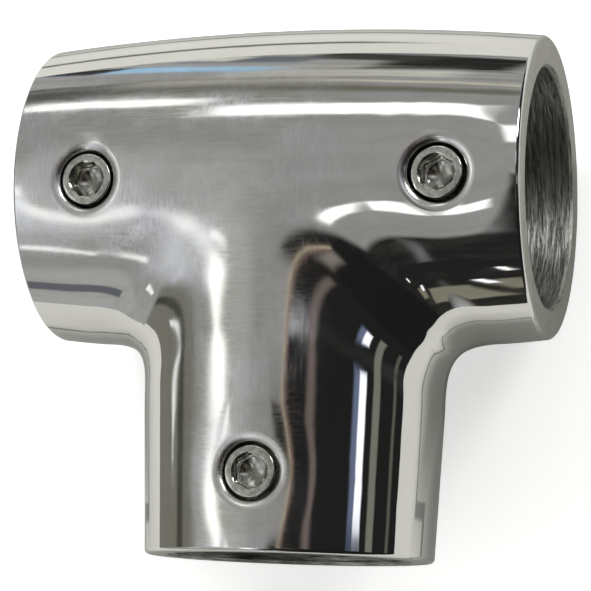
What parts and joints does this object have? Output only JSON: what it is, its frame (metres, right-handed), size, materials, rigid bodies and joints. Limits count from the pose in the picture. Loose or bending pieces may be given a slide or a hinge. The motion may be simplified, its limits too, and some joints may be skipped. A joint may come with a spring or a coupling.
{
  "type": "tube clamp tee fitting",
  "caption": "Polished cast tee that joins a round tube at a right angle to a tube running through it, clamped by hexagon socket set screws.",
  "frame": {"origin": "the point where the axes of the run bore and the stem bore cross", "axes": "+X along the run bore, -Y along the stem towards its open end, +Z towards the side with the set screws; the fitting lies on its back"},
  "size_m": [0.055, 0.0576, 0.0352],
  "materials": {
    "polished_casting": "cast stainless steel, mirror polished outside with fine hairlines on the front, bores left as machined",
    "screw_steel": "plain stainless steel, machined"
  },
  "bodies": {
    "root": {"tee_body": "polished_casting", "run_left_set_screw": "screw_steel", "run_right_set_screw": "screw_steel", "stem_set_screw": "screw_steel"}
  },
  "joints": []
}
